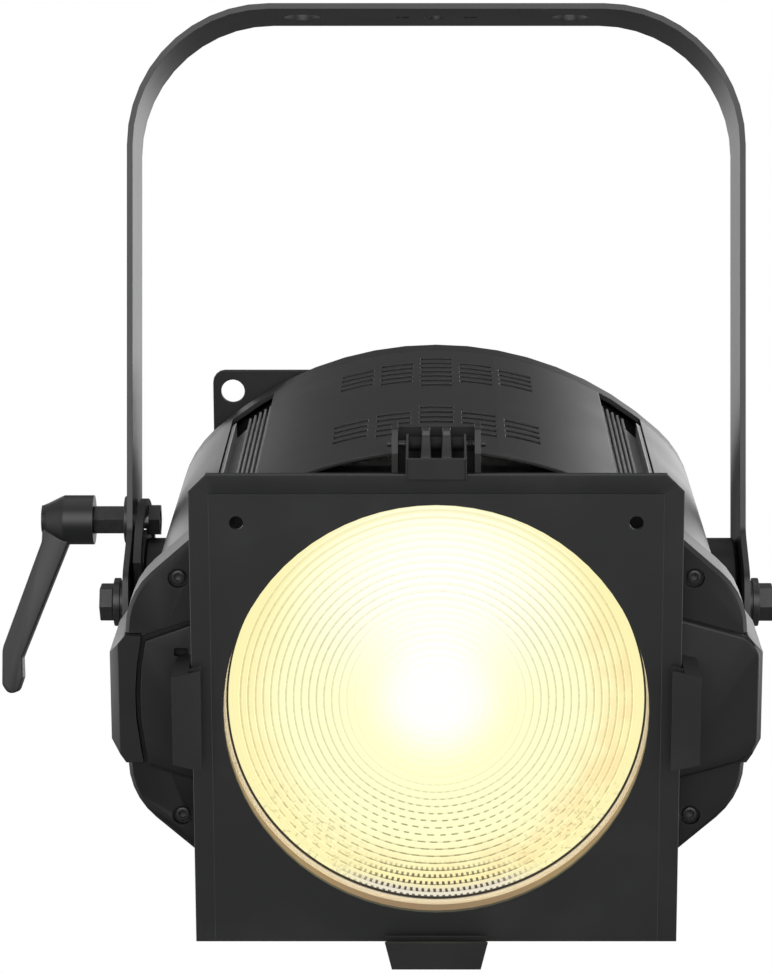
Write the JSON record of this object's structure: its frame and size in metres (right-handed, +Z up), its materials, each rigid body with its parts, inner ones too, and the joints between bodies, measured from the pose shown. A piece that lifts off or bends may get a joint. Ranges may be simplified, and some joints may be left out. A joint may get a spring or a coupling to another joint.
{
  "type": "fresnel spotlight",
  "caption": "Stage fresnel spotlight: stepped lens behind a square colour frame, vented black head, strap yoke with a clamping lever and a tilt joint.",
  "frame": {"origin": "middle of the yoke's top face, on the axis of its middle clamp hole, where the lamp hangs", "axes": "+Z up, the lens faces -Y, +X to the right seen from the front"},
  "size_m": [0.4306, 0.3672, 0.5137],
  "materials": {
    "powder_steel": "satin black powder coat on steel",
    "powder_alloy": "satin black powder coat on aluminium",
    "black_plastic": "moulded, fine texture",
    "zinc_steel": "zinc plated",
    "bare_alloy": "milled",
    "soft_rubber": "matt",
    "lens_glass": "stepped at the front, lit from behind",
    "circuit_board": "solder mask",
    "light_source": "phosphor coated",
    "display_glass": "clear window over a dark display"
  },
  "bodies": {
    "yoke": {"yoke": "powder_steel", "pivot_washer_left": "zinc_steel", "pivot_washer_right": "zinc_steel", "clamp_washer": "powder_steel", "clamp_nut": "zinc_steel"},
    "clamp": {"clamp_insert": "powder_steel", "clamp_stud": "zinc_steel", "handle_screw": "zinc_steel"},
    "handle": {"clamp_handle": "powder_steel", "handle_spring": "zinc_steel"},
    "latch": {"latch_flap": "powder_steel"},
    "carriage": {"engine_carriage": "bare_alloy", "led_board": "light_source", "reflector": "bare_alloy", "heat_sink": "bare_alloy"},
    "leadscrew": {"leadscrew": "zinc_steel"},
    "fan": {"fan_rotor": "black_plastic"},
    "menu_button": {"button_menu": "soft_rubber"},
    "up_button": {"button_up": "soft_rubber"},
    "enter_button": {"button_enter": "soft_rubber"},
    "down_button": {"button_down": "soft_rubber"},
    "head": {"bottom_cover": "powder_alloy", "chassis_plate": "bare_alloy", "clip_bottom": "powder_alloy", "clip_left": "powder_alloy", "clip_right": "powder_alloy", "colour_frame": "powder_steel", "control_panel": "black_plastic", "data_in": "black_plastic", "data_out": "black_plastic", "display_window": "display_glass", "driver_board": "circuit_board", "fan_housing": "black_plastic", "front_casting": "powder_alloy", "fuse_holder": "black_plastic", "guide_rod_left": "zinc_steel", "guide_rod_right": "zinc_steel", "latch_bracket": "powder_steel", "latch_pin": "zinc_steel", "latch_spring": "zinc_steel", "lens": "lens_glass", "lens_gasket": "soft_rubber", "lens_retainer": "zinc_steel", "pivot_bolt_left": "zinc_steel", "pivot_bolt_right": "zinc_steel", "pivot_boss_left": "powder_alloy", "pivot_boss_right": "powder_alloy", "power_in": "black_plastic", "power_out": "black_plastic", "quadrant_plate": "powder_steel", "rail_left": "powder_alloy", "rail_right": "powder_alloy", "rear_cover": "powder_alloy", "safety_eye": "powder_steel", "side_cover_left": "powder_alloy", "side_cover_right": "powder_alloy", "side_pod_left": "powder_alloy", "side_pod_right": "powder_alloy", "top_cover": "powder_alloy", "zoom_motor": "zinc_steel"}
  },
  "joints": [
    {"name": "tilt", "type": "hinge", "parent": "yoke", "child": "head", "pos_m": [0, 0, -0.3306], "axis": [1, 0, 0], "range_deg": [-54.5, 70.5]},
    {"name": "clamp_turn", "type": "hinge", "parent": "yoke", "child": "clamp", "pos_m": [-0.191, 0, -0.2846], "axis": [1, 0, 0], "continuous": true},
    {"name": "handle_pull", "type": "slide", "parent": "clamp", "child": "handle", "axis": [-1, 0, 0], "range_m": [0, 0.004], "stiffness_N_per_m": 1200, "springref_m": -0.003, "deforming": ["handle_spring"]},
    {"name": "latch_swing", "type": "hinge", "parent": "head", "child": "latch", "pos_m": [0, -0.21956, -0.24846], "axis": [-1, 0, 0], "range_deg": [0, 55], "stiffness_Nm_per_rad": 0.15, "springref_deg": -28.65},
    {"name": "zoom_slide", "type": "slide", "parent": "head", "child": "carriage", "axis": [0, 0.9681, 0.2504], "range_m": [-0.055, 0.01]},
    {"name": "leadscrew_turn", "type": "hinge", "parent": "head", "child": "leadscrew", "pos_m": [0, 0.02103, -0.41192], "axis": [0, 0.9681, 0.2504], "range_deg": [-2480, 455]},
    {"name": "fan_spin", "type": "hinge", "parent": "head", "child": "fan", "pos_m": [0, 0.002, -0.33835], "axis": [0, 0.9681, 0.2504], "continuous": true},
    {"name": "menu_press", "type": "slide", "parent": "head", "child": "menu_button", "axis": [0, -0.9681, -0.2504], "range_m": [0, 0.0015], "stiffness_N_per_m": 700, "springref_m": -0.0006},
    {"name": "up_press", "type": "slide", "parent": "head", "child": "up_button", "axis": [0, -0.9681, -0.2504], "range_m": [0, 0.0015], "stiffness_N_per_m": 700, "springref_m": -0.0006},
    {"name": "enter_press", "type": "slide", "parent": "head", "child": "enter_button", "axis": [0, -0.9681, -0.2504], "range_m": [0, 0.0015], "stiffness_N_per_m": 700, "springref_m": -0.0006},
    {"name": "down_press", "type": "slide", "parent": "head", "child": "down_button", "axis": [0, -0.9681, -0.2504], "range_m": [0, 0.0015], "stiffness_N_per_m": 700, "springref_m": -0.0006}
  ],
  "couplings": [
    {"joint": "leadscrew_turn", "follows": "zoom_slide", "rad_per_m": 785.4}
  ]
}
